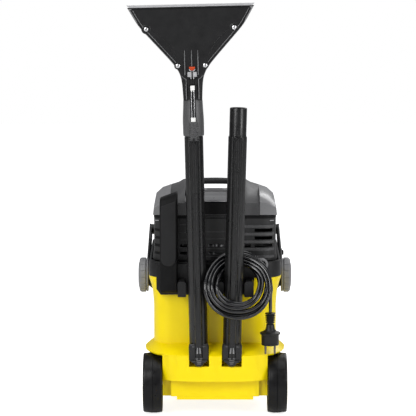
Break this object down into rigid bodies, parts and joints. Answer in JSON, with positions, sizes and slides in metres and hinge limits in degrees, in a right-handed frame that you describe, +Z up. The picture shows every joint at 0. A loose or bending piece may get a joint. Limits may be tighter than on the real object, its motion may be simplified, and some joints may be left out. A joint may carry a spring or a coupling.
{
  "type": "carpet cleaner machine",
  "caption": "Spray-extraction carpet cleaner: wheeled tank, lift-off motor head, folding carrying bow, stowed suction tubes with floor nozzle, coiled power cord.",
  "frame": {"origin": "middle of the resting machine's box, on the floor, measured without the cord", "axes": "+Z up; -Y towards the rear, where the tubes, nozzle and cord are stowed; +X to the right seen from the rear"},
  "size_m": [0.3408, 0.471, 0.8519],
  "materials": {
    "tank_yellow": "satin moulded plastic, saturated yellow",
    "matte_black": "satin moulded plastic, charcoal black",
    "grained_grey": "spark-eroded grain, dark grey",
    "flank_grey": "smooth satin grey",
    "knob_grey": "satin mid grey",
    "lip_grey": "smooth light grey",
    "steel": "bright zinc-plated steel",
    "white_fitting": "smooth white plastic",
    "jet_orange": "smooth orange-red plastic",
    "tyre_black": "smooth moulded tread, no lettering",
    "cord_black": "smooth flexible sheath"
  },
  "bodies": {
    "base": {"tank_shell": "tank_yellow", "rear_axle": "steel", "pivot_bracket_left": "matte_black", "pivot_bracket_right": "matte_black"},
    "wheel_left": {"rear_wheel_left": "tyre_black", "wheel_cap_left": "knob_grey"},
    "wheel_right": {"rear_wheel_right": "tyre_black", "wheel_cap_right": "knob_grey"},
    "caster_left": {"caster_fork_left": "matte_black"},
    "caster_roller_left": {"caster_wheel_left": "tyre_black"},
    "caster_right": {"caster_fork_right": "matte_black"},
    "caster_roller_right": {"caster_wheel_right": "tyre_black"},
    "dirty_tank": {"dirty_water_tank": "lip_grey"},
    "head": {"head_base": "matte_black", "motor_housing": "grained_grey", "top_cover": "grained_grey", "recess_panel": "flank_grey", "carry_handle": "matte_black", "flank_left": "flank_grey", "flank_right": "flank_grey", "duct_cover": "matte_black", "tube_holder": "matte_black", "cable_gland": "flank_grey", "cable_hook": "matte_black", "inlet_socket": "matte_black", "spray_coupling": "knob_grey", "turbine_casing": "knob_grey", "suction_motor": "steel", "spray_pump": "matte_black", "water_suction_pipe": "matte_black", "float_cage": "white_fitting", "cord_lead": "cord_black", "cord_coil": "cord_black", "cord_drop": "cord_black", "plug_body": "cord_black", "plug_pin_left": "steel", "plug_pin_right": "steel"},
    "fan": {"turbine_fan": "lip_grey"},
    "float": {"float_ball": "jet_orange"},
    "suction_button": {"suction_switch": "knob_grey"},
    "spray_button": {"spray_switch": "knob_grey"},
    "bow": {"bow_handle": "matte_black", "bow_hub_left": "knob_grey", "bow_hub_right": "knob_grey"},
    "bow_button": {"bow_release_button": "matte_black"},
    "tube_left": {"suction_tube_left": "matte_black"},
    "tube_right": {"suction_tube_right": "matte_black"},
    "latch_left": {"tube_latch_left": "knob_grey"},
    "latch_right": {"tube_latch_right": "knob_grey"},
    "nozzle": {"nozzle_shell": "knob_grey", "nozzle_cover": "matte_black", "nozzle_lip": "lip_grey", "nozzle_screw_1": "steel", "nozzle_screw_2": "steel", "nozzle_screw_3": "steel", "nozzle_screw_4": "steel", "nozzle_sleeve": "knob_grey", "spray_line": "white_fitting", "spray_jet": "jet_orange"}
  },
  "joints": [
    {"name": "wheel_left_spin", "type": "hinge", "parent": "base", "child": "wheel_left", "pos_m": [0.00741, -0.15666, 0.063], "axis": [1, 0, 0], "continuous": true},
    {"name": "wheel_right_spin", "type": "hinge", "parent": "base", "child": "wheel_right", "pos_m": [0.00741, -0.15666, 0.063], "axis": [1, 0, 0], "continuous": true},
    {"name": "caster_left_swivel", "type": "hinge", "parent": "base", "child": "caster_left", "pos_m": [-0.07859, 0.11734, 0], "axis": [0, 0, 1], "continuous": true},
    {"name": "caster_left_roll", "type": "hinge", "parent": "caster_left", "child": "caster_roller_left", "pos_m": [-0.07859, 0.10634, 0.015], "axis": [1, 0, 0], "continuous": true},
    {"name": "caster_right_swivel", "type": "hinge", "parent": "base", "child": "caster_right", "pos_m": [0.09341, 0.11734, 0], "axis": [0, 0, 1], "continuous": true},
    {"name": "caster_right_roll", "type": "hinge", "parent": "caster_right", "child": "caster_roller_right", "pos_m": [0.09341, 0.10634, 0.015], "axis": [1, 0, 0], "continuous": true},
    {"name": "head_lift", "type": "slide", "parent": "base", "child": "head", "axis": [0, 0, 1], "range_m": [0, 0.26]},
    {"name": "dirty_tank_lift", "type": "slide", "parent": "base", "child": "dirty_tank", "axis": [0, 0, 1], "range_m": [0, 0.13]},
    {"name": "bow_swing", "type": "hinge", "parent": "base", "child": "bow", "pos_m": [0.00741, -0.01666, 0.266], "axis": [-1, 0, 0], "range_deg": [-74.7, 0]},
    {"name": "bow_button_press", "type": "slide", "parent": "bow", "child": "bow_button", "axis": [-1, 0, 0], "range_m": [0, 0.0025], "stiffness_N_per_m": 400},
    {"name": "fan_spin", "type": "hinge", "parent": "head", "child": "fan", "pos_m": [0.00741, 0.00334, 0], "axis": [0, 0, 1], "continuous": true},
    {"name": "float_rise", "type": "slide", "parent": "head", "child": "float", "axis": [0, 0, 1], "range_m": [0, 0.02]},
    {"name": "suction_switch_press", "type": "slide", "parent": "head", "child": "suction_button", "axis": [0, 0, -1], "range_m": [0, 0.003], "stiffness_N_per_m": 400},
    {"name": "spray_switch_press", "type": "slide", "parent": "head", "child": "spray_button", "axis": [0, 0, -1], "range_m": [0, 0.003], "stiffness_N_per_m": 400},
    {"name": "tube_left_pull", "type": "slide", "parent": "head", "child": "tube_left", "axis": [-0.0227, 0, 0.9997], "range_m": [0, 0.3]},
    {"name": "tube_right_pull", "type": "slide", "parent": "head", "child": "tube_right", "axis": [0.0253, 0, 0.9997], "range_m": [0, 0.13]},
    {"name": "nozzle_pull", "type": "slide", "parent": "tube_left", "child": "nozzle", "axis": [-0.0227, 0, 0.9997], "range_m": [0, 0.06]},
    {"name": "latch_left_press", "type": "slide", "parent": "tube_left", "child": "latch_left", "axis": [0, 1, 0], "range_m": [0, 0.002], "stiffness_N_per_m": 400},
    {"name": "latch_right_press", "type": "slide", "parent": "tube_right", "child": "latch_right", "axis": [0, 1, 0], "range_m": [0, 0.002], "stiffness_N_per_m": 400}
  ],
  "couplings": [
    {"joint": "dirty_tank_lift", "follows": "head_lift", "ratio": 0.5}
  ]
}
